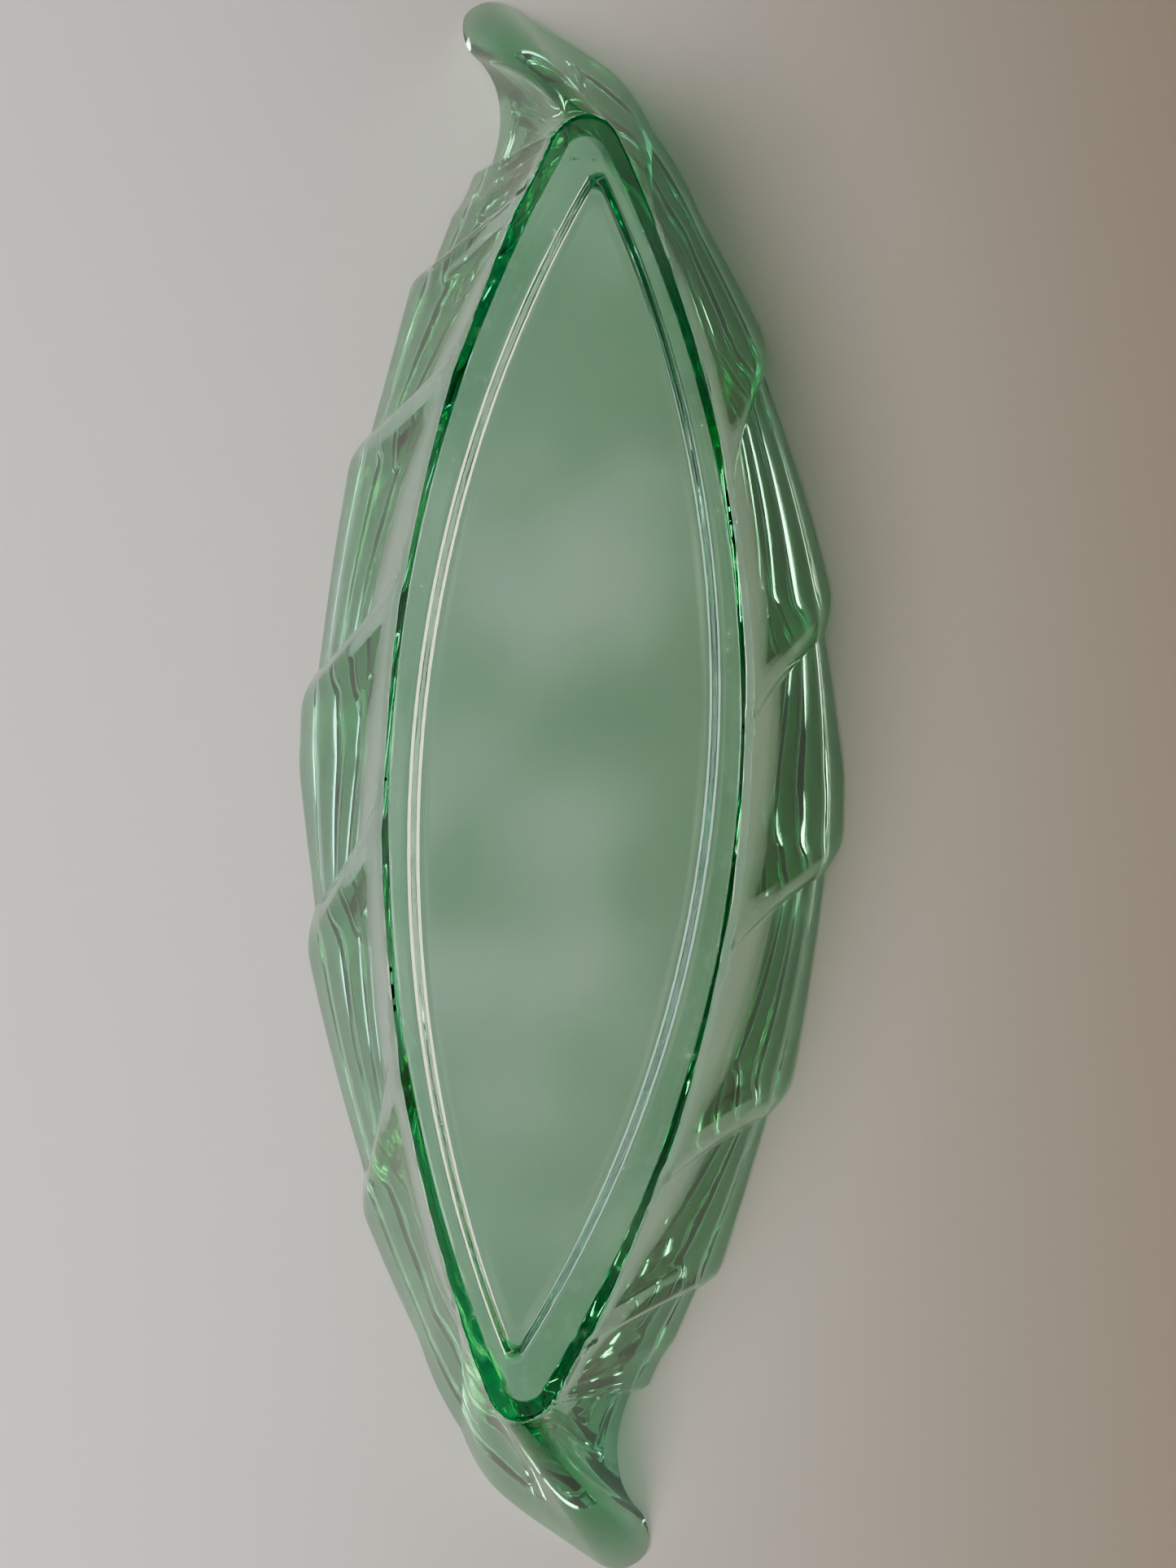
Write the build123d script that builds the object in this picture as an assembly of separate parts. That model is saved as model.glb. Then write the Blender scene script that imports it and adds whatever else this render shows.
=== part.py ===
from build123d import *
import os
from math import acos, atan, cos, hypot, pi, radians, sin, sqrt

# A pressed-glass leaf dish, in millimetres. It stands upright on its foot ring at z = 0, with the
# bowl open upwards. X runs along the leaf and Y across it. But for a slight bow along its length,
# the shape repeats after half a turn about Z. Pressed glass leaves the mould in one piece, so the
# dish is one solid.

# overall sizes
height = 40.0
rim_half_length = 131.6  # along the bent centre line, from the middle to a horn's tip
rim_half_width = 42.5
foot_half_length = 91.5
foot_half_width = 25.3
bow = 3.1  # how far the bowed centre line lies to one side at the ends of the leaf

# the leaf outline of the rim
horn_half_width = 6.2  # at the tip
horn_taper = 0.20  # how fast the horn's half-width grows towards the leaf
horn_bend_start = 0.70 * rim_half_length  # where the centre line starts to bend into a horn
horn_bend_radius = 38.0
rim_lean = 3.4  # sideways lean of the rim's centre line at the ends of the leaf
blade_short_of_tip = 6.0  # the leaf blade runs out this far before the horn's tip
blade_tip_radius = 1.5
rim_round = 1.2  # rounding of the rim's two edges

# the foot ring and the recessed panel inside it
foot_turn = 2.9  # degrees that the foot is turned to suit the swirl of the petals
foot_tip_radius = 5.0
band_width = 3.0  # flat band at the sides of the foot
band_width_at_ends = 7.6
recess_turn = 4.0  # degrees that the recess is turned
recess_depth = 2.0
cove_width = 3.0  # the sloping side of the recess, an S of two equal arcs
recess_tip_radius = 1.4

# the bowl
base_thickness = 4.2  # glass between the recessed panel and the bowl's floor
wall_at_rim = 3.7  # where no groove cuts into it
lug_length = 20.7  # solid glass from the bowl's end to a horn's tip
floor_inset = 0.6  # from the foot's outer edge to the bowl's floor
floor_inset_at_ends = 1.5
bowl_tip_radius = 3.0
bowl_toe = 0.12  # share of the wall's spread that goes into rounding its foot
flank_swell = 0.95  # below 1, the outside bellies out between foot and rim

# The petals: grooves sweep from foot to rim, and the flank climbs slowly from each groove to a
# crest and drops steeply into the next.
groove_depth = 2.4
groove_share_at_foot = 0.10  # share of groove_depth
groove_share_at_rim = 0.80
groove_full_from = 0.55  # share of the height where grooves reach full depth
petal_crest = 0.84  # where a petal is highest, as a share of its width
petal_curl = 1.5  # above 1, a petal curls outwards on its way to the crest
spandrel_width = 0.12  # half-width of the small flat between petals at the foot, in petals
spandrel_height = 0.09  # how far up the flank that flat reaches, as a share of the height
keel_sharpness = 2.6
# Where the grooves beside the petals start at the foot and end at the rim, as shares of the
# half-length, from one horn (1) to the other (-1) on the +Y side.
grooves_at_foot = [1.0, 0.78, 0.385, 0.04, -0.308, -0.66, -0.90, -0.978, -1.0]
grooves_at_rim = [1.0, 0.78, 0.50, 0.174, -0.125, -0.424, -0.636, -0.803, -1.0]

points_per_petal = 10
petal_crowding = 0.10  # how strongly those points crowd towards the grooves
flank_levels = 12
bowl_levels = 12
rim_round_steps = 4
cove_steps = 4
bowl_points = 96
recess_points = 64


def lens_half_width(x, half_length, half_width, tip_radius):
    """Half the width at x of a lens made of two long arcs whose points are rounded."""
    arc = (half_length - tip_radius) ** 2 + half_width**2 - tip_radius**2
    arc_radius = arc / (2 * (half_width - tip_radius))
    tip_centre = half_length - tip_radius
    joint = arc_radius * tip_centre / (arc_radius - tip_radius)
    if abs(x) > joint:
        return sqrt(max(tip_radius**2 - (abs(x) - tip_centre) ** 2, 0.0))
    return sqrt(arc_radius**2 - x**2) - (arc_radius - half_width)


def turned(x, y, angle):
    """The point turned about the middle of the dish by an angle in degrees."""
    a = radians(angle)
    return x * cos(a) - y * sin(a), x * sin(a) + y * cos(a)


def bent(x, y):
    """The point of a straight leaf carried to the leaf whose ends bend into horns."""
    lean = rim_lean * x / rim_half_length
    past = abs(x) - horn_bend_start
    if past <= 0:
        return x, y + lean
    side = 1 if x > 0 else -1
    a = past / horn_bend_radius
    spine_x = side * (horn_bend_start + horn_bend_radius * sin(a))
    spine_y = lean - side * horn_bend_radius * (1 - cos(a))
    return spine_x + y * sin(a), spine_y + y * cos(a)


def bowed(x, y):
    """The point moved sideways onto the bowed leaf."""
    return x, y - bow * (x / rim_half_length) ** 2


def horn_half_width_at(x):
    """Half the width of the round-ended, tapering bar that forms the two horns."""
    from_end = rim_half_length - horn_half_width - abs(x)
    if from_end >= 0:
        return horn_half_width + horn_taper * from_end
    return sqrt(max(horn_half_width**2 - from_end**2, 0.0))


def rim_point(angle):
    """Outer edge of the rim: a leaf blade merged with the horns, then bent."""
    x = rim_half_length * cos(angle)
    blade_length = rim_half_length - blade_short_of_tip
    blade = 0.0
    if abs(x) < blade_length:
        blade = lens_half_width(x, blade_length, rim_half_width, blade_tip_radius)
    y = (blade**4 + horn_half_width_at(x) ** 4) ** 0.25
    return bowed(*bent(x, y if sin(angle) >= 0 else -y))


def foot_point(angle, inset=0.0, inset_at_ends=0.0, tip_radius=foot_tip_radius, turn=foot_turn):
    """A lens inside the foot's outer edge, turned a few degrees."""
    half_length = foot_half_length - inset_at_ends
    x = half_length * cos(angle)
    y = lens_half_width(x, half_length, foot_half_width - inset, tip_radius)
    return bowed(*turned(x, y if sin(angle) >= 0 else -y, turn))


def bowl_rim_point(angle, widen=0.0):
    """Edge of the bowl's mouth: a leaf blade that stops short of the solid horns, bent alike."""
    half_length = rim_half_length - lug_length + widen
    x = half_length * cos(angle)
    y = lens_half_width(x, half_length, rim_half_width - wall_at_rim + widen, bowl_tip_radius)
    return bowed(*bent(x, y if sin(angle) >= 0 else -y))


def station(stations, petals):
    """Angle along an outline at a count of petals from the first horn, past the second horn too."""
    half = len(stations) - 1
    turns, along = divmod(petals, half)
    i = int(along)
    start, end = acos(stations[i]), acos(stations[i + 1])
    return turns * pi + start + (end - start) * (along - i)


def hump(share):
    """A power of the share up to the crest and a quarter cosine down from it."""
    if share < petal_crest:
        return (share / petal_crest) ** petal_curl
    return cos(pi / 2 * (share - petal_crest) / (1 - petal_crest))


def petal_rise(petals, level):
    """Height across the petals, from 0 in a groove to 1 on a crest or on a horn's keel."""
    half = len(grooves_at_rim) - 1
    along = petals % half
    share = along % 1.0
    opening = spandrel_width * max(0.0, 1 - level / spandrel_height)
    if along < 1:
        return hump(max(petal_crest, min(share / (1 - opening), 1.0)))
    if along >= half - 1:
        return max(0.0, (share - opening) / (1 - opening)) ** keel_sharpness
    return hump(min(max((share - opening) / (1 - 2 * opening), 0.0), 1.0))


def groove_reach(level):
    """Depth of the grooves at a level: slight at the foot, full on the flank, less at the rim."""
    if level < groove_full_from:
        share = sin(pi / 2 * level / groove_full_from)
        return groove_depth * (groove_share_at_foot + (1 - groove_share_at_foot) * share)
    share = (level - groove_full_from) / (1 - groove_full_from)
    return groove_depth * (1 - (1 - groove_share_at_rim) * share**2)


def plain_flank_point(petals, level):
    """The flank without grooves: the foot's edge blended to the rim's edge along one groove line."""
    low = foot_point(station(grooves_at_foot, petals))
    high = rim_point(station(grooves_at_rim, petals))
    share = level**flank_swell
    return low[0] + (high[0] - low[0]) * share, low[1] + (high[1] - low[1]) * share


def flank_point(petals, level, pull_in):
    """The plain flank moved along its outline's normal, inwards where the grooves cut."""
    x, y = plain_flank_point(petals, level)
    before = plain_flank_point(petals - 0.06, level)
    after = plain_flank_point(petals + 0.06, level)
    run = hypot(after[0] - before[0], after[1] - before[1])
    out = groove_reach(level) * (petal_rise(petals, level) - 1) - pull_in
    return x + out * (after[1] - before[1]) / run, y - out * (after[0] - before[0]) / run


def petal_edge(first, last, level, z, pull_in):
    """A smooth edge round the outside from one groove to another, counted in petals."""
    steps = (last - first) * points_per_petal
    petals = []
    for i in range(steps + 1):
        share = i / points_per_petal
        petals.append(first + share - petal_crowding * sin(2 * pi * share))
    places = [Vector(*flank_point(p, level, pull_in), z) for p in petals]
    return Edge.make_spline(places, parameters=[(p - first) / (last - first) for p in petals])


def flank_wire(level, z, pull_in=0.0):
    """The outline of the outside at one level, in edges that meet in the grooves. The two edges
    round the horns run over the keels and cover two petals each."""
    half = len(grooves_at_rim) - 1
    edges = []
    for side in (0, half):
        for groove in range(1, half - 1):
            edges.append(petal_edge(side + groove, side + groove + 1, level, z, pull_in))
        edges.append(petal_edge(side + half - 1, side + half + 1, level, z, pull_in))
    return Wire(edges)


def even_loop(point_at, count):
    """Points round an outline that has no grooves."""
    return [point_at(2 * pi * i / count) for i in range(count)]


def loop_wire(loop, z):
    """A smooth closed wire through a loop of points at height z."""
    places = [Vector(x, y, z) for x, y in loop]
    knots = [i / len(loop) for i in range(len(loop) + 1)]
    return Wire([Edge.make_spline(places, periodic=True, parameters=knots)])


def rounding():
    """Drop below the rim and sideways retreat at each step of a quarter circle of the rim's radius."""
    angles = [pi / 2 * i / rim_round_steps for i in range(rim_round_steps + 1)]
    return [(rim_round * (1 - sin(a)), rim_round * (1 - cos(a))) for a in angles]


def outside():
    """The outer form, solid, from the foot to the rounded edge of the rim."""
    top = (height - rim_round) / height
    levels = [top * (i / flank_levels) ** 1.3 for i in range(flank_levels + 1)]
    flank = Solid.make_loft([flank_wire(level, level * height) for level in levels])
    edge = []
    for drop, retreat in rounding():
        edge.append(flank_wire((height - drop) / height, height - drop, retreat))
    return flank + Solid.make_loft(edge)


def bowl_loop(z, widen=0.0):
    """Points round the bowl at height z: its floor's edge blended to its mouth."""
    floor_z = recess_depth + base_thickness
    level = (z - floor_z) / (height - floor_z)
    share = (1 - bowl_toe) * level + bowl_toe * sqrt(level)

    def point_at(angle):
        low = foot_point(angle, floor_inset, floor_inset_at_ends, bowl_tip_radius)
        high = bowl_rim_point(angle, widen)
        return low[0] + (high[0] - low[0]) * share, low[1] + (high[1] - low[1]) * share

    return even_loop(point_at, bowl_points)


def bowl():
    """The space inside the dish, from its flat floor up through the rounded mouth."""
    floor_z = recess_depth + base_thickness
    rise = height - rim_round - floor_z
    heights = [floor_z + rise * (i / bowl_levels) ** 2 for i in range(bowl_levels + 1)]
    hollow = Solid.make_loft([loop_wire(bowl_loop(z), z) for z in heights])
    mouth = [loop_wire(bowl_loop(height - drop, widen), height - drop) for drop, widen in rounding()]
    return hollow + Solid.make_loft(mouth)


def cove(share):
    """Inset and rise along the S of two equal arcs from the band (0) to the panel (1)."""
    radius = (cove_width**2 + recess_depth**2) / (4 * recess_depth)
    turn = 2 * atan(recess_depth / cove_width)
    a = 2 * min(share, 1 - share) * turn
    inset, rise = radius * sin(a), radius * (1 - cos(a))
    if share <= 0.5:
        return inset, rise
    return cove_width - inset, recess_depth - rise


def recess_wire(share):
    """The outline of the recess at a share of the way along its cove."""
    inset, rise = cove(share)
    side, end = band_width + inset, band_width_at_ends + inset

    def point_at(angle):
        return foot_point(angle, side, end, recess_tip_radius, recess_turn)

    return loop_wire(even_loop(point_at, recess_points), rise)


def recess():
    """The shallow pocket inside the foot ring, lofted as two halves that meet halfway up the S."""
    lower = [recess_wire(0.5 * i / cove_steps) for i in range(cove_steps + 1)]
    upper = [recess_wire(0.5 + 0.5 * i / cove_steps) for i in range(cove_steps + 1)]
    return Solid.make_loft(lower) + Solid.make_loft(upper)


def dish():
    return outside() - bowl() - recess()


os.makedirs("parts", exist_ok=True)
export_step(dish(), "parts/dish.step")
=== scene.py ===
# %% [markdown]
# # A pressed uranium-glass leaf dish
#
# The dish is one piece of glass: a long leaf on a low pointed foot, with slanting petals round its
# flank and a bent solid horn at each end. It was made in one stroke, by a plunger that pressed hot
# glass into a hinged mould, so the whole thing is modelled as one closed surface. This lesson
# works that surface out with formulas, gives it a glass that holds colour in its depth, and
# lights it softly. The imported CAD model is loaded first, because every place below is taken from
# its frame.

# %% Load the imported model
import math
import bpy
import numpy as np
from mathutils import Matrix, Vector


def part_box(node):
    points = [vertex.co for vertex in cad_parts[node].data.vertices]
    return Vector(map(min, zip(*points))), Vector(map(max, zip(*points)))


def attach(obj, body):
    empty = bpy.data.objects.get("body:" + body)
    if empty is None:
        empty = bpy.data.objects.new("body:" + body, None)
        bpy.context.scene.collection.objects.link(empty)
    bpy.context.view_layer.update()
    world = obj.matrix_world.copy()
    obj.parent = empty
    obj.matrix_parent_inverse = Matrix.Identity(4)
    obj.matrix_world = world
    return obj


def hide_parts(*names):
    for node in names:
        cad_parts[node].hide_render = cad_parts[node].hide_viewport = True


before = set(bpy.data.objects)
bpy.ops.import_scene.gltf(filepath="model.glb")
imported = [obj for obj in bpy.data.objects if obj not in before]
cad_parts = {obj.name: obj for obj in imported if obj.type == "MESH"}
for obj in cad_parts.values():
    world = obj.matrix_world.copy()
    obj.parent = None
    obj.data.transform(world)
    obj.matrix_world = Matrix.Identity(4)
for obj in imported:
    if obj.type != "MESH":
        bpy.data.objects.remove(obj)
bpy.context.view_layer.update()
low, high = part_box("dish")
MM = 0.001
length, width, height = high.x - low.x, high.y - low.y, high.z
print("dish box in mm:", [round(v / MM, 1) for v in (length, width, height)])

# %% [markdown]
# ## The sizes that drive the shape
#
# A mould maker would dimension the leaf at two levels: the foot that it stands on and the rim
# forty millimetres above. Everything between them is blended. The same sizes drive the CAD
# solid, so the smooth surface made here lies where the solid does.

# %% Sizes of the rim, the foot and the bowl
rim_half_length = 131.6 * MM  # along the bent centre line
rim_half_width = 42.5 * MM
horn_half_width = 6.2 * MM
horn_taper = 0.20
horn_bend_start = 0.70 * rim_half_length
horn_bend_radius = 38.0 * MM
rim_lean = 3.4 * MM
bow = 3.1 * MM
blade_short_of_tip = 6.0 * MM
blade_tip_radius = 1.5 * MM
rim_round = 1.2 * MM

foot_half_length = 91.5 * MM
foot_half_width = 25.3 * MM
foot_turn = math.radians(2.9)
recess_turn = math.radians(4.0)
foot_tip_radius = 5.0 * MM
band_width = 3.0 * MM
band_width_at_ends = 7.6 * MM
recess_depth = 2.0 * MM
cove_width = 3.0 * MM
recess_tip_radius = 1.4 * MM

base_thickness = 4.2 * MM
wall_at_rim = 3.7 * MM
lug_length = 20.7 * MM
floor_inset = 0.6 * MM
floor_inset_at_ends = 1.5 * MM
bowl_tip_radius = 3.0 * MM
flank_swell = 0.95
bowl_toe = 0.12
floor_height = recess_depth + base_thickness
print("glass under the bowl's floor, mm:", round(base_thickness / MM, 1))

# %% [markdown]
# ## The leaf outline
#
# The foot and the bowl are lenses: two long arcs that meet in points, with the points rounded.
# The rim is a lens as well, merged with a round-ended bar that pokes out at both ends. Bending
# the ends of that figure round a radius, one to each side, turns the bar's ends into horns. A
# bend keeps the bar's width, where a shear would pinch it.

# %% Outlines as functions of an angle
def lens_half_width(x, half_length, half_width, tip_radius):
    """Arc of radius R about a centre below the axis: sqrt(R^2 - x^2) - (R - half width). Past the
    place where the tip's circle touches the arc, the circle itself: sqrt(r^2 - distance^2)."""
    tip_centre = half_length - tip_radius
    R = (tip_centre**2 + half_width**2 - tip_radius**2) / (2 * (half_width - tip_radius))
    joint = R * tip_centre / (R - tip_radius)
    arc = np.sqrt(np.maximum(R**2 - x**2, 0)) - (R - half_width)
    tip = np.sqrt(np.maximum(tip_radius**2 - (np.abs(x) - tip_centre) ** 2, 0))
    return np.where(np.abs(x) > joint, tip, arc)


def turned(x, y, angle):
    """Plain rotation: x cos - y sin, x sin + y cos."""
    return x * np.cos(angle) - y * np.sin(angle), x * np.sin(angle) + y * np.cos(angle)


def bent(x, y):
    """Past the start of the bend, the centre line follows a circle through an angle of distance
    over radius, and y is measured square to it. The two ends bend to opposite sides."""
    side = np.sign(x)
    a = np.maximum(np.abs(x) - horn_bend_start, 0) / horn_bend_radius
    straight = side * np.minimum(np.abs(x), horn_bend_start)
    spine_x = straight + side * horn_bend_radius * np.sin(a)
    spine_y = rim_lean * x / rim_half_length - side * horn_bend_radius * (1 - np.cos(a))
    return spine_x + y * np.sin(a), spine_y + y * np.cos(a)


def bowed(x, y):
    """The whole leaf bows to one side: y loses bow times (x / half length)^2."""
    return x, y - bow * (x / rim_half_length) ** 2


def signed(y, angle):
    """The half width on the +Y side for the first half turn and on the -Y side for the second."""
    return np.where(np.sin(angle) >= 0, y, -y)


def rim_point(angle):
    """x = half length times cos(angle). The blade and the bar merge as (blade^4 + bar^4)^(1/4)."""
    x = rim_half_length * np.cos(angle)
    blade_length = rim_half_length - blade_short_of_tip
    inside = np.clip(x, -blade_length, blade_length)
    blade = lens_half_width(inside, blade_length, rim_half_width, blade_tip_radius)
    past = np.maximum(np.abs(x) - (rim_half_length - horn_half_width), 0)
    bar = np.sqrt(np.maximum(horn_half_width**2 - past**2, 0))
    bar = bar + horn_taper * np.maximum(rim_half_length - horn_half_width - np.abs(x), 0)
    return bowed(*bent(x, signed((blade**4 + bar**4) ** 0.25, angle)))


def foot_point(angle, inset, inset_at_ends, tip_radius, turn):
    """A lens inside the foot's outer edge by the inset, turned a few degrees."""
    half_length = foot_half_length - inset_at_ends
    x = half_length * np.cos(angle)
    y = lens_half_width(x, half_length, foot_half_width - inset, tip_radius)
    return bowed(*turned(x, signed(y, angle), turn))


def bowl_rim_point(angle, widen):
    """A lens that stops short of the horns, bent like the rim."""
    half_length = rim_half_length - lug_length + widen
    x = half_length * np.cos(angle)
    y = lens_half_width(x, half_length, rim_half_width - wall_at_rim + widen, bowl_tip_radius)
    return bowed(*bent(x, signed(y, angle)))


tip_x, tip_y = rim_point(np.array([0.0]))
print("horn tip in mm:", round(float(tip_x[0]) / MM, 1), round(float(tip_y[0]) / MM, 1))

# %% [markdown]
# ## The petals
#
# Each side has eight petals, set like overlapping tiles: a petal rises slowly from the groove at
# one edge and falls steeply into the groove at the other. A groove starts at the foot and reaches
# the rim further on, so it slants. Counting round the dish in petals, with a fraction between
# grooves, gives a coordinate that slants with them, and every crease then lies on one line of the
# grid, where it stays crisp.

# %% The slanting coordinate and the relief
grooves_at_foot = np.array([1.0, 0.78, 0.385, 0.04, -0.308, -0.66, -0.90, -0.978, -1.0])
grooves_at_rim = np.array([1.0, 0.78, 0.50, 0.174, -0.125, -0.424, -0.636, -0.803, -1.0])
half_round = len(grooves_at_rim) - 1
groove_depth = 2.4 * MM
petal_crest = 0.84
petal_curl = 1.5
groove_share_at_foot, groove_share_at_rim = 0.10, 0.80
groove_full_from = 0.55
spandrel_width, spandrel_height = 0.12, 0.09
keel_sharpness = 2.6


def station(stations, petals):
    """Angle along an outline at a petal count: in a straight line between the angles of the
    grooves on each side, half a turn further for each time round one side."""
    turns = np.floor(petals / half_round)
    along = petals - turns * half_round
    i = np.minimum(along.astype(int), half_round - 1)
    angles = np.arccos(stations)
    return turns * math.pi + angles[i] + (angles[i + 1] - angles[i]) * (along - i)


def hump(share):
    """A power of the share up to the crest and a quarter cosine down from it."""
    up = (share / petal_crest) ** petal_curl
    down = np.cos(math.pi / 2 * (share - petal_crest) / (1 - petal_crest))
    return np.where(share < petal_crest, up, down)


def petal_rise(petals, level):
    """0 in a groove and 1 on a crest. Low on the flank the groove opens to a small flat. The first
    petal of each side starts on the horn's keel, and the last climbs to the next keel by a power.
    """
    along = np.mod(petals, half_round)
    share = np.mod(along, 1.0)
    opening = spandrel_width * np.maximum(0, 1 - level / spandrel_height)
    middle = hump(np.clip((share - opening) / (1 - 2 * opening), 0, 1))
    first = np.minimum(share / (1 - opening), 1)
    first = np.where(first < petal_crest, 1.0, hump(np.maximum(first, petal_crest)))
    last = np.maximum(0, (share - opening) / (1 - opening)) ** keel_sharpness
    return np.where(along < 1, first, np.where(along >= half_round - 1, last, middle))


def groove_reach(level):
    """Groove depth: a quarter sine from the foot's share to full, then a parabola to the rim's."""
    quarter_turn = math.pi / 2 * np.minimum(level / groove_full_from, 1)
    up = groove_share_at_foot + (1 - groove_share_at_foot) * np.sin(quarter_turn)
    over = np.maximum(level - groove_full_from, 0) / (1 - groove_full_from)
    return groove_depth * (up - (1 - groove_share_at_rim) * over**2)


print("petals on each side:", half_round)

# %% [markdown]
# ## The seam at the foot
#
# Where the mould's bottom plate met its sides, the glass crept into the joint and left a thin,
# broken fin round the outside of the foot. It is a fraction of a millimetre high, but it catches
# the light as a dashed line, so it is in the surface and not only in the finish.
# Beside it, between the feet of the petals, the mould left small raised teardrops.

# %% The broken fin and the teardrops
seam_height = 0.22 * MM
seam_rise, seam_spread = 0.25 * MM, 0.16 * MM
spandrel_centre, spandrel_half_rise = 0.075, 0.045
spandrel_half_width, spandrel_lift = 0.09, 0.35 * MM


def seam_fin(petals, z):
    """A bell curve in height times a sum of sines round the dish, kept above zero."""
    turn = 2 * math.pi * petals / (2 * half_round)
    ragged = 0.45 + 0.4 * np.sin(97 * turn) + 0.35 * np.sin(61 * turn + 1.3)
    ragged = ragged + 0.3 * np.sin(173 * turn + 0.4)
    return seam_height * np.clip(ragged, 0, 1) * np.exp(-(((z - seam_rise) / seam_spread) ** 2))


def spandrel(petals, level):
    """A small raised teardrop at each groove: 1 - (across)^2 - (up)^2, clipped to a low plateau."""
    across = np.mod(petals + 0.5, 1.0) - 0.5
    up = (level - spandrel_centre) / spandrel_half_rise
    mound = np.clip((1 - (across / spandrel_half_width) ** 2 - up**2) * 2.5, 0, 1)
    return spandrel_lift * mound * (np.mod(petals + 0.5, half_round) > 1)


print("fin in mm:", seam_height / MM, "teardrops in mm:", spandrel_lift / MM)

# %% [markdown]
# ## The flank
#
# The outside is blended from the foot's outline to the rim's, and the relief is then cut into it
# along the outline's own normal. The normal comes from two neighbours on the plain flank, so the
# grooves don't disturb the direction that they are cut in.

# %% The flank
normal_step = 0.06  # petals to each neighbour


def plain_flank(petals, level):
    """Foot point plus a share of the way to the rim point, the share being level to a power."""
    foot_x, foot_y = foot_point(station(grooves_at_foot, petals), 0, 0, foot_tip_radius, foot_turn)
    rim_x, rim_y = rim_point(station(grooves_at_rim, petals))
    share = level**flank_swell
    return foot_x + (rim_x - foot_x) * share, foot_y + (rim_y - foot_y) * share


def flank(petals, z, pull_in):
    """The plain flank, moved along the outline's normal by the petals' relief and the fin."""
    level = z / height
    x, y = plain_flank(petals, level)
    ahead_x, ahead_y = plain_flank(petals + normal_step, level)
    behind_x, behind_y = plain_flank(petals - normal_step, level)
    along_x, along_y = ahead_x - behind_x, ahead_y - behind_y
    run = np.hypot(along_x, along_y)
    out = groove_reach(level) * (petal_rise(petals, level) - 1)
    out = out + seam_fin(petals, z) + spandrel(petals, level) - pull_in
    return x + out * along_y / run, y - out * along_x / run, z + 0 * x


print("deepest groove in mm:", round(float(groove_reach(groove_full_from)) / MM, 2))


# %% [markdown]
# ## One closed surface
#
# The second parameter runs along a profile: from the middle of the recessed panel underneath,
# down over the cove to the foot band, up the flank, over the rim, down the inside of the bowl
# and along its floor to the middle. Rows lie close together where the profile turns and wide
# apart where it is flat. Columns crowd towards the creases in the same way.

# %% Rows and columns
columns_per_petal = 36
share = np.arange(columns_per_petal) / columns_per_petal
crowding = 0.14  # how strongly columns crowd towards the creases
crowded = share - crowding * np.sin(2 * math.pi * share)
petals = (np.arange(2 * half_round)[:, None] + crowded[None, :]).ravel()
at_foot = station(grooves_at_foot, petals)
at_rim = station(grooves_at_rim, petals)


def quarter(steps):
    """Angles of a quarter turn."""
    return np.linspace(0, math.pi / 2, steps + 1)


rows = []


def add_row(x, y, z):
    """One more ring of points; z may be one number."""
    rows.append(np.stack([x, y, np.broadcast_to(z, x.shape)], axis=-1))


print("columns round the dish:", len(petals))

# %% [markdown]
# ## The underside
#
# The panel is flat, so a few rings do. The cove beside it is a moulded S and throws the brightest
# lines of all, so it gets seventeen. The foot band is flat again.

# %% Rings of the panel, the cove and the band
def cove(share):
    """Two equal arcs, one curving up off the band and one levelling out at the panel. With w the
    width and d the depth, both have radius (w^2 + d^2) / 4d and turn through 2 atan(d / w)."""
    radius = (cove_width**2 + recess_depth**2) / (4 * recess_depth)
    turn = 2 * math.atan(recess_depth / cove_width)
    a = 2 * min(share, 1 - share) * turn
    inset, rise = radius * math.sin(a), radius * (1 - math.cos(a))
    return (inset, rise) if share <= 0.5 else (cove_width - inset, recess_depth - rise)


def cove_ring(inset):
    """The foot's lens inside the band by the inset."""
    at_sides, at_ends = band_width + inset, band_width_at_ends + inset
    return foot_point(at_foot, at_sides, at_ends, recess_tip_radius, recess_turn)


def panel_rows():
    """The recessed panel: its outline shrunk towards the middle, then the cove down to the band."""
    x, y = cove_ring(cove_width)
    for shrink in (0.25, 0.6, 0.85, 0.96):
        add_row(x * shrink, y * shrink, recess_depth)
    for share in np.linspace(1, 0, 17):
        inset, rise = cove(share)
        add_row(*cove_ring(inset), rise)


def band_rows():
    """The flat band of the foot, between its inner and outer edges."""
    inner_x, inner_y = cove_ring(0)
    outer_x, outer_y = foot_point(at_foot, 0, 0, foot_tip_radius, foot_turn)
    for part in (0.05, 0.35, 0.65, 0.92):
        add_row(inner_x + (outer_x - inner_x) * part, inner_y + (outer_y - inner_y) * part, 0.0)


panel_rows()
band_rows()
print("rings under the foot:", len(rows))

# %% [markdown]
# ## The outside
#
# Rings lie close together at the foot, where the fin is, then evenly up the flank, and go round
# the edge of the rim on a quarter circle.

# %% Rings of the flank
def flank_rows():
    """From the foot's edge to where the rim starts to round, then round it."""
    top = height - rim_round
    near_foot = np.array([0.0, 0.12, 0.25, 0.38, 0.55, 0.8, 1.1]) * MM
    rest = np.linspace(near_foot[-1], top, 62)[1:]
    for z in np.concatenate([near_foot, rest]):
        add_row(*flank(petals, z, 0.0))
    for a in quarter(6)[1:]:
        add_row(*flank(petals, top + rim_round * math.sin(a), rim_round * (1 - math.cos(a))))


flank_rows()
print("rings up to the rim:", len(rows))

# %% [markdown]
# ## The bowl
#
# A plunger makes the inside, so it has no relief. The wall spreads a little faster just above the
# floor, which rounds its toe.

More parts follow.
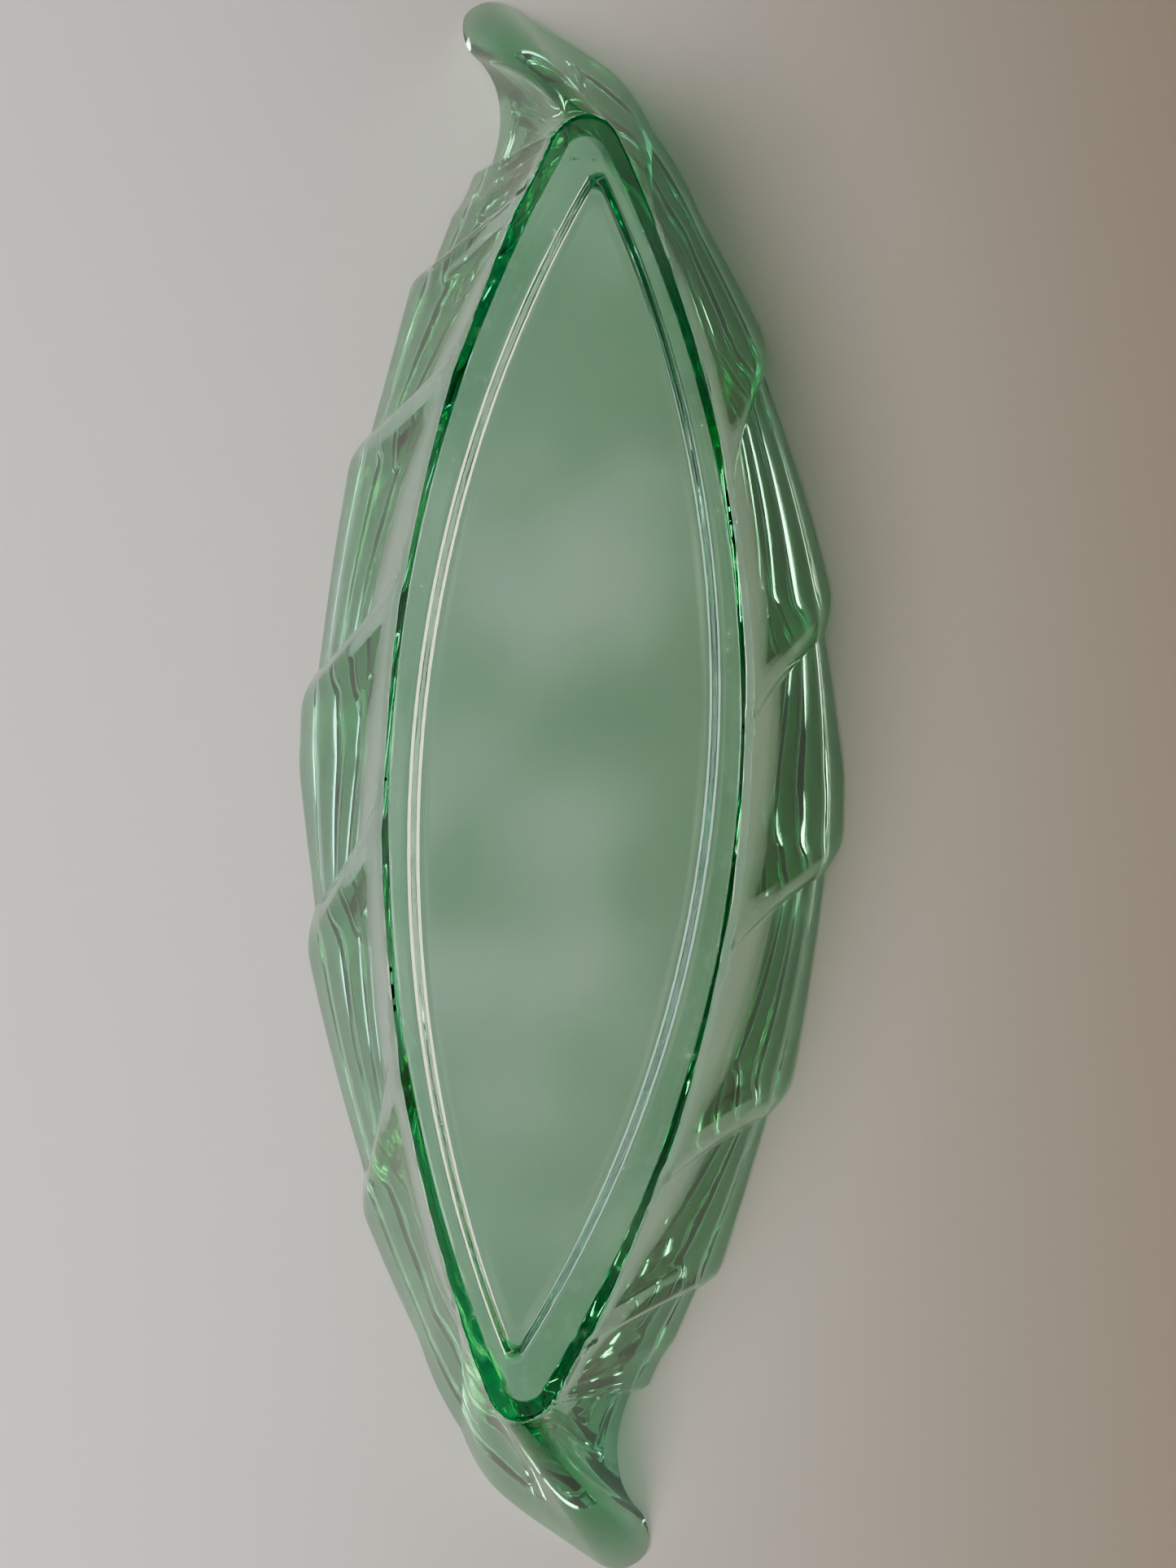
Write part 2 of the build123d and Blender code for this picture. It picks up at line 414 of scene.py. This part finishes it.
# %% Rings of the bowl
def bowl_ring(z, widen):
    """A ring of the bowl: its floor's outline blended to its mouth's. The share is the level above
    the floor, with a part of it traded for the level's square root, which rounds the toe."""
    level = (z - floor_height) / (height - floor_height)
    part = (1 - bowl_toe) * level + bowl_toe * level**0.5
    insets = floor_inset, floor_inset_at_ends
    floor_x, floor_y = foot_point(at_rim, *insets, bowl_tip_radius, foot_turn)
    mouth_x, mouth_y = bowl_rim_point(at_rim, widen)
    return floor_x + (mouth_x - floor_x) * part, floor_y + (mouth_y - floor_y) * part


def inside_rows():
    """The flat of the rim, the rounding into the bowl, its wall and its floor."""
    outer_x, outer_y, _ = flank(petals, height, rim_round)
    mouth_x, mouth_y = bowl_ring(height, rim_round)
    for part in (0.25, 0.5, 0.75):
        x, y = outer_x + (mouth_x - outer_x) * part, outer_y + (mouth_y - outer_y) * part
        add_row(x, y, height)
    for a in quarter(6)[::-1]:
        z = height - rim_round * (1 - math.sin(a))
        add_row(*bowl_ring(z, rim_round * (1 - math.cos(a))), z)
    top = height - rim_round
    for part in np.linspace(1, 0, 40)[1:]:
        z = floor_height + (top - floor_height) * part**2
        add_row(*bowl_ring(z, 0.0), z)
    x, y = bowl_ring(floor_height, 0.0)
    for shrink in (0.96, 0.85, 0.6, 0.25):
        add_row(x * shrink, y * shrink, floor_height)


inside_rows()
points = np.stack(rows)
print("grid:", points.shape[0], "rings of", points.shape[1], "points")

# %% [markdown]
# ## From grid to mesh
#
# Neighbouring rings are joined by four-sided faces, and a fan closes the surface in the middle of
# the panel and of the bowl's floor. The order of the corners makes every face point out of the
# glass, which a glass shader needs to tell going in from coming out.

# %% Build the mesh
def closed_mesh(name, grid):
    """Vertices are the grid row by row and two poles; faces come from the rolled index grid."""
    ring_count, around = grid.shape[:2]
    index = np.arange(ring_count * around).reshape(ring_count, around)
    ahead = np.roll(index, -1, axis=1)
    sides = np.stack([index[:-1], index[1:], ahead[1:], ahead[:-1]], axis=-1).reshape(-1, 4)
    poles = np.array([[0, 0, grid[0, 0, 2]], [0, 0, grid[-1, 0, 2]]])
    first, last = ring_count * around, ring_count * around + 1
    bottom = np.stack([np.full(around, first), index[0], ahead[0]], axis=-1)
    top = np.stack([np.full(around, last), ahead[-1], index[-1]], axis=-1)
    places = np.concatenate([grid.reshape(-1, 3), poles])
    mesh = bpy.data.meshes.new(name)
    mesh.from_pydata(places.tolist(), [], sides.tolist() + bottom.tolist() + top.tolist())
    mesh.polygons.foreach_set("use_smooth", np.ones(len(mesh.polygons), bool))
    mesh.flip_normals()
    mesh.validate()
    mesh.update()
    piece = bpy.data.objects.new(name, mesh)
    bpy.context.scene.collection.objects.link(piece)
    return piece


dish = closed_mesh("pressed_dish", points)
print("faces:", len(dish.data.polygons))

# %% [markdown]
# ## Which way is out
#
# A surface that is inside out would look almost right, and its glass would be wrong. The volume
# that it encloses is positive only if its faces point outwards, so one sum tests that.

# %% Check which way the faces point
def enclosed_volume(mesh):
    """Sum over triangles of a . (b x c) / 6, which is positive when faces point outwards."""
    mesh.calc_loop_triangles()
    co = np.empty(len(mesh.vertices) * 3)
    mesh.vertices.foreach_get("co", co)
    tri = np.empty(len(mesh.loop_triangles) * 3, int)
    mesh.loop_triangles.foreach_get("vertices", tri)
    a, b, c = np.moveaxis(co.reshape(-1, 3)[tri.reshape(-1, 3)], 1, 0)
    return float(np.einsum("ij,ij->i", a, np.cross(b, c)).sum() / 6)


print("glass in cubic centimetres:", round(enclosed_volume(dish.data) * 1e6, 1))

# %% [markdown]
# ## Uranium glass
#
# The glass is clear, and its green is in its depth: a thin wall looks nearly colourless, and a long
# way through a horn or along the foot looks deep green. So the surface gets a clean glass shader,
# with a slowly changing tint of its own, and the body gets an absorption that takes red and blue
# out faster than green. Bending every lamp's light through the glass would take very long to
# render, so light on its way to a lamp passes straight through each surface and loses a fixed
# share there, which gives a soft shadow. The foot band is rubbed dull in spots from being stood on
# things, and the moulded surface is faintly wavy.

# %% The glass
def uranium_glass():
    """A clean refracting surface whose tint drifts with a slow noise, with a faint bump from the
    same noise and dull spots on the foot band, round a body that absorbs red most and green least.
    """
    material = bpy.data.materials.new("uranium_glass")
    material.use_nodes = True
    nodes, links = material.node_tree.nodes, material.node_tree.links
    nodes.clear()
    place = nodes.new("ShaderNodeTexCoord")
    waves = nodes.new("ShaderNodeTexNoise")
    waves.inputs["Scale"].default_value = 38.0
    waves.inputs["Detail"].default_value = 1.0
    links.new(place.outputs["Object"], waves.inputs["Vector"])
    bump = nodes.new("ShaderNodeBump")
    bump.inputs["Strength"].default_value = 0.25
    bump.inputs["Distance"].default_value = 0.4 * MM
    links.new(waves.outputs["Fac"], bump.inputs["Height"])
    glass = nodes.new("ShaderNodeBsdfPrincipled")
    tint = nodes.new("ShaderNodeMix")
    tint.data_type = "RGBA"
    tint.inputs[6].default_value = (0.61, 0.69, 0.65, 1)
    tint.inputs[7].default_value = (0.71, 0.79, 0.75, 1)
    links.new(waves.outputs["Fac"], tint.inputs[0])
    links.new(tint.outputs[2], glass.inputs["Base Color"])
    glass.inputs["Transmission Weight"].default_value = 1.0
    glass.inputs["IOR"].default_value = 1.52
    level = nodes.new("ShaderNodeSeparateXYZ")
    links.new(place.outputs["Object"], level.inputs["Vector"])
    worn = nodes.new("ShaderNodeMapRange")
    worn.inputs["From Min"].default_value = 0.30 * MM
    worn.inputs["From Max"].default_value = 0.05 * MM
    links.new(level.outputs["Z"], worn.inputs["Value"])
    rubs = nodes.new("ShaderNodeTexNoise")
    rubs.inputs["Scale"].default_value = 420.0
    rubs.inputs["Detail"].default_value = 4.0
    links.new(place.outputs["Object"], rubs.inputs["Vector"])
    rubbed = nodes.new("ShaderNodeMapRange")
    rubbed.inputs["From Min"].default_value = 0.50
    rubbed.inputs["From Max"].default_value = 0.72
    rubbed.inputs["To Max"].default_value = 0.30
    links.new(rubs.outputs["Fac"], rubbed.inputs["Value"])
    scuffs = nodes.new("ShaderNodeMath")
    scuffs.operation = "MULTIPLY"
    links.new(worn.outputs["Result"], scuffs.inputs[0])
    links.new(rubbed.outputs["Result"], scuffs.inputs[1])
    links.new(scuffs.outputs["Value"], glass.inputs["Roughness"])
    links.new(bump.outputs["Normal"], glass.inputs["Normal"])
    clear = nodes.new("ShaderNodeBsdfTransparent")
    clear.inputs["Color"].default_value = (0.64, 0.66, 0.65, 1)
    path = nodes.new("ShaderNodeLightPath")
    mix = nodes.new("ShaderNodeMixShader")
    links.new(path.outputs["Is Shadow Ray"], mix.inputs["Fac"])
    links.new(glass.outputs["BSDF"], mix.inputs[1])
    links.new(clear.outputs["BSDF"], mix.inputs[2])
    depth = nodes.new("ShaderNodeVolumeAbsorption")
    depth.inputs["Color"].default_value = (0.0, 0.74, 0.42, 1)
    depth.inputs["Density"].default_value = 60.0
    out = nodes.new("ShaderNodeOutputMaterial")
    links.new(mix.outputs["Shader"], out.inputs["Surface"])
    links.new(depth.outputs["Volume"], out.inputs["Volume"])
    return material


dish.data.materials.append(uranium_glass())
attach(dish, "root")
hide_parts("dish")
print("material:", dish.data.materials[0].name)

# %% [markdown]
# ## The stage: a floor seen from above, a ground seen from below
#
# The dish stands on its foot, but its best side is underneath, so the main camera looks up at it.
# Two floor sheets under the foot are solid from above and let a view from below through. Another
# sheet level with the rim is solid from below only, and is the pale ground behind that view. Its
# colour carries painted shade: lighter on the left, darker and browner on the right, and darker
# away from the dish.

# %% One-way sheets
def sheet(name, z, size, faces_up):
    """A square of four corners at a height, turned up or down by the order of its corners."""
    corners = np.array([(-1, -1), (1, -1), (1, 1), (-1, 1)]) * size / 2
    mesh = bpy.data.meshes.new(name)
    order = (0, 1, 2, 3) if faces_up else (3, 2, 1, 0)
    mesh.from_pydata([(x, y, z) for x, y in corners], [], [order])
    piece = bpy.data.objects.new(name, mesh)
    bpy.context.scene.collection.objects.link(piece)
    return piece


def one_way(name, lit_left_color, shaded_right_color, far_shade_share, once_below):
    """Matt and pale from its front and clear from its back. The colour runs from left to right
    across the dish and falls to a share of itself away from it; on the ground both are painted
    shade, lighter where the light falls and darker on the right and far off. Light that has already
    come up through both floor sheets finds the ground solid (once_below is True) and the floor
    clear (False)."""
    material = bpy.data.materials.new(name)
    material.use_nodes = True
    nodes, links = material.node_tree.nodes, material.node_tree.links
    nodes.clear()
    matt = nodes.new("ShaderNodeBsdfDiffuse")
    place = nodes.new("ShaderNodeTexCoord")
    across = nodes.new("ShaderNodeSeparateXYZ")
    links.new(place.outputs["Object"], across.inputs["Vector"])
    # Painted shade: the colour goes from a lighter left to a darker right, as if the light fell
    # more on one side.
    painted_side_blend = nodes.new("ShaderNodeMapRange")
    painted_side_blend.interpolation_type = "SMOOTHSTEP"
    painted_side_blend.inputs["From Min"].default_value = -0.12
    painted_side_blend.inputs["From Max"].default_value = 0.12
    links.new(across.outputs["Y"], painted_side_blend.inputs["Value"])
    painted_side_tone = nodes.new("ShaderNodeMix")
    painted_side_tone.data_type = "RGBA"
    links.new(painted_side_blend.outputs["Result"], painted_side_tone.inputs[0])
    painted_side_tone.inputs[6].default_value = lit_left_color
    painted_side_tone.inputs[7].default_value = shaded_right_color
    reach = nodes.new("ShaderNodeVectorMath")
    reach.operation = "LENGTH"
    links.new(place.outputs["Object"], reach.inputs[0])
    # Painted shade: the colour falls to a share of itself away from the dish, as if the light fell
    # off there.
    painted_far_shade = nodes.new("ShaderNodeMapRange")
    painted_far_shade.interpolation_type = "SMOOTHSTEP"
    painted_far_shade.inputs["From Min"].default_value = 0.17
    painted_far_shade.inputs["From Max"].default_value = 0.26
    painted_far_shade.inputs["To Min"].default_value = 1.0
    painted_far_shade.inputs["To Max"].default_value = far_shade_share
    links.new(reach.outputs["Value"], painted_far_shade.inputs["Value"])
    shaded_color = nodes.new("ShaderNodeVectorMath")
    shaded_color.operation = "SCALE"
    links.new(painted_side_tone.outputs[2], shaded_color.inputs[0])
    links.new(painted_far_shade.outputs["Result"], shaded_color.inputs["Scale"])
    links.new(shaded_color.outputs["Vector"], matt.inputs["Color"])
    clear = nodes.new("ShaderNodeBsdfTransparent")
    facing = nodes.new("ShaderNodeNewGeometry")
    path = nodes.new("ShaderNodeLightPath")
    sheets = nodes.new("ShaderNodeMath")
    sheets.operation = "LESS_THAN" if once_below else "GREATER_THAN"
    sheets.inputs[1].default_value = 1.5
    links.new(path.outputs["Transparent Depth"], sheets.inputs[0])
    either = nodes.new("ShaderNodeMath")
    either.operation = "MAXIMUM"
    links.new(facing.outputs["Backfacing"], either.inputs[0])
    links.new(sheets.outputs["Value"], either.inputs[1])
    mix = nodes.new("ShaderNodeMixShader")
    links.new(either.outputs["Value"], mix.inputs["Fac"])
    links.new(matt.outputs["BSDF"], mix.inputs[1])
    links.new(clear.outputs["BSDF"], mix.inputs[2])
    out = nodes.new("ShaderNodeOutputMaterial")
    links.new(mix.outputs["Shader"], out.inputs["Surface"])
    return material


floor_gap = 0.3 * MM
floor_color = (0.72, 0.70, 0.68, 1)
floor_paint = one_way("floor_paint", floor_color, floor_color, 1.0, once_below=False)
for i in (1, 2):
    floor = sheet(f"floor_{i}", -floor_gap * i, 4.0, faces_up=True)
    floor.data.materials.append(floor_paint)
    floor.visible_shadow = False
ground = sheet("ground", height + 0.1 * MM, 4.0, faces_up=False)
# The ground's colours are painted shade: pale on the left, dark brown on the right, and far from
# the dish a small share of that.
ground_lit_left, ground_shaded_right, ground_far_shade = (0.60, 0.59, 0.585, 1), (0.29, 0.25, 0.20, 1), 0.15
ground_painted_shade = one_way("ground_painted_shade", ground_lit_left, ground_shaded_right, ground_far_shade, once_below=True)
ground.data.materials.append(ground_painted_shade)
ground.visible_shadow = False
print("stage:", [piece.name for piece in (floor, ground)])

# %% [markdown]
# ## Lamps
#
# A soft window lamp from below and to one side lights the ground and throws the dish's shadow a
# little way past its far edge. A larger one above lights the floor for a view from above. The
# window lamp is hidden from reflections, because its square shape would show in the glass.

# %% Two soft lamps
def area_lamp(name, place, target, size, power, color):
    """A soft square lamp at a place, turned to face a target."""
    data = bpy.data.lights.new(name, "AREA")
    data.shape = "RECTANGLE"
    data.size, data.size_y = size
    data.energy = power
    data.color = color
    lamp = bpy.data.objects.new(name, data)
    bpy.context.scene.collection.objects.link(lamp)
    lamp.location = place
    aim = np.array(target) - np.array(place)
    lamp.rotation_euler = Vector(aim).to_track_quat("-Z", "Y").to_euler()
    return lamp


middle = (0, 0, height / 2)
window_place, window_size = (-0.28, -0.44, -0.76), (0.45, 0.45)
window = area_lamp("window_below", window_place, middle, window_size, 9.5, (1.0, 0.97, 0.94))
window.visible_glossy = False
window.visible_transmission = False
area_lamp("softbox_above", (-0.5, -0.7, 1.1), middle, (0.9, 0.9), 16.0, (1.0, 0.98, 0.95))

# %% [markdown]
# ## The room round the dish
#
# Glass shows its surroundings more than itself. The room is dark low down and pale above, with
# soft cloudy brightness straight below, which is what the flat panel mirrors. Two bright panes,
# one bluish and one cream, draw the thin highlights on the cove and the petals. The panes count
# only for light that the glass mirrors or passes, so they don't light the ground.

# %% The room and its two panes
world = bpy.data.worlds.new("studio")
bpy.context.scene.world = world
world.use_nodes = True
nodes, links = world.node_tree.nodes, world.node_tree.links
nodes.clear()
direction = nodes.new("ShaderNodeTexCoord")
upward = nodes.new("ShaderNodeSeparateXYZ")
links.new(direction.outputs["Generated"], upward.inputs["Vector"])


def ramp(source, start, end, low_value, high_value, smooth=True):
    """A number carried from start..end to low..high, held level outside that stretch."""
    node = nodes.new("ShaderNodeMapRange")
    node.interpolation_type = "SMOOTHSTEP" if smooth else "LINEAR"
    node.inputs["From Min"].default_value = start
    node.inputs["From Max"].default_value = end
    node.inputs["To Min"].default_value = low_value
    node.inputs["To Max"].default_value = high_value
    links.new(source, node.inputs["Value"])
    return node.outputs["Result"]


def combined(operation, first, second):
    """Two numbers added, multiplied, or the larger of the two."""
    node = nodes.new("ShaderNodeMath")
    node.operation = operation
    links.new(first, node.inputs[0])
    links.new(second, node.inputs[1])
    return node.outputs["Value"]


def glow(strength, color):
    """Light from every direction, as strong as the number says there."""
    node = nodes.new("ShaderNodeBackground")
    node.inputs["Color"].default_value = color
    links.new(strength, node.inputs["Strength"])
    return node.outputs["Background"]


def room_glow():
    """Dark low down to pale at the horizon, plus soft clouds straight below."""
    clouds = nodes.new("ShaderNodeTexNoise")
    clouds.inputs["Scale"].default_value = 9.0
    clouds.inputs["Detail"].default_value = 1.0
    links.new(direction.outputs["Generated"], clouds.inputs["Vector"])
    patches = ramp(clouds.outputs["Fac"], 0.32, 0.76, 0.0, 1.5)
    beneath = ramp(upward.outputs["Z"], -0.80, -0.95, 0.0, 1.0)
    pale = ramp(upward.outputs["Z"], -0.30, 0.02, 0.07, 0.80, smooth=False)
    strength = combined("ADD", pale, combined("MULTIPLY", patches, beneath))
    return glow(strength, (1.0, 0.97, 0.93, 1))


def pane(aim, nearness, strength, color):
    """A bright round patch: the dot product with its direction, stepped up smoothly. It counts only
    for light that was mirrored or let through."""
    toward = nodes.new("ShaderNodeVectorMath")
    toward.operation = "DOT_PRODUCT"
    toward.inputs[1].default_value = Vector(aim).normalized()
    links.new(direction.outputs["Generated"], toward.inputs[0])
    soft_edge = 0.01
    patch = ramp(toward.outputs["Value"], nearness - soft_edge, nearness + soft_edge, 0.0, strength)
    path = nodes.new("ShaderNodeLightPath").outputs
    in_glass = combined("MAXIMUM", path["Is Glossy Ray"], path["Is Transmission Ray"])
    return glow(combined("MULTIPLY", patch, in_glass), color)


def together(first, second):
    """Two lights added."""
    node = nodes.new("ShaderNodeAddShader")
    links.new(first, node.inputs[0])
    links.new(second, node.inputs[1])
    return node.outputs["Shader"]


bluish_pane = pane((0.25, -0.85, -0.35), 0.965, 9.0, (0.80, 0.93, 1.0, 1))
cream_pane = pane((0.10, 0.90, -0.40), 0.95, 22.0, (1.0, 0.92, 0.72, 1))
world_out = nodes.new("ShaderNodeOutputWorld")
links.new(together(room_glow(), together(bluish_pane, cream_pane)), world_out.inputs["Surface"])
print("room:", world.name)

# %% [markdown]
# ## The camera
#
# The camera looks up at the foot from about the distance at which one holds a phone over a table,
# a little off square, with +X up in the picture.

# %% Camera
camera_distance = 0.290
camera_data = bpy.data.cameras.new("camera")
camera_data.lens = 41.1
camera_data.sensor_width = 36.0
camera = bpy.data.objects.new("camera", camera_data)
bpy.context.scene.collection.objects.link(camera)
place = Vector((-0.0135, 0.0065, height - camera_distance))
target = Vector((-0.0020, 0.0028, height))
back = (place - target).normalized()
right = Vector((1, 0, 0)).cross(back).normalized()
up = back.cross(right)
camera.matrix_world = Matrix.Translation(place) @ Matrix((right, up, back)).transposed().to_4x4()
bpy.context.scene.camera = camera
print("camera:", [round(v, 4) for v in place])

# %% [markdown]
# ## How far light is followed, and the end
#
# In thick glass light is thrown to and fro many times before it gets out. If the renderer stops
# following it too early, the glass shows black patches, so the limits are raised. The last line
# sets the look of the picture.

# %% Limits and the look
most_bounces = 32
bpy.context.scene.cycles.max_bounces = most_bounces
bpy.context.scene.cycles.transmission_bounces = most_bounces
bpy.context.scene.cycles.glossy_bounces = most_bounces
bpy.context.scene.view_settings.look = "AgX - Medium High Contrast"
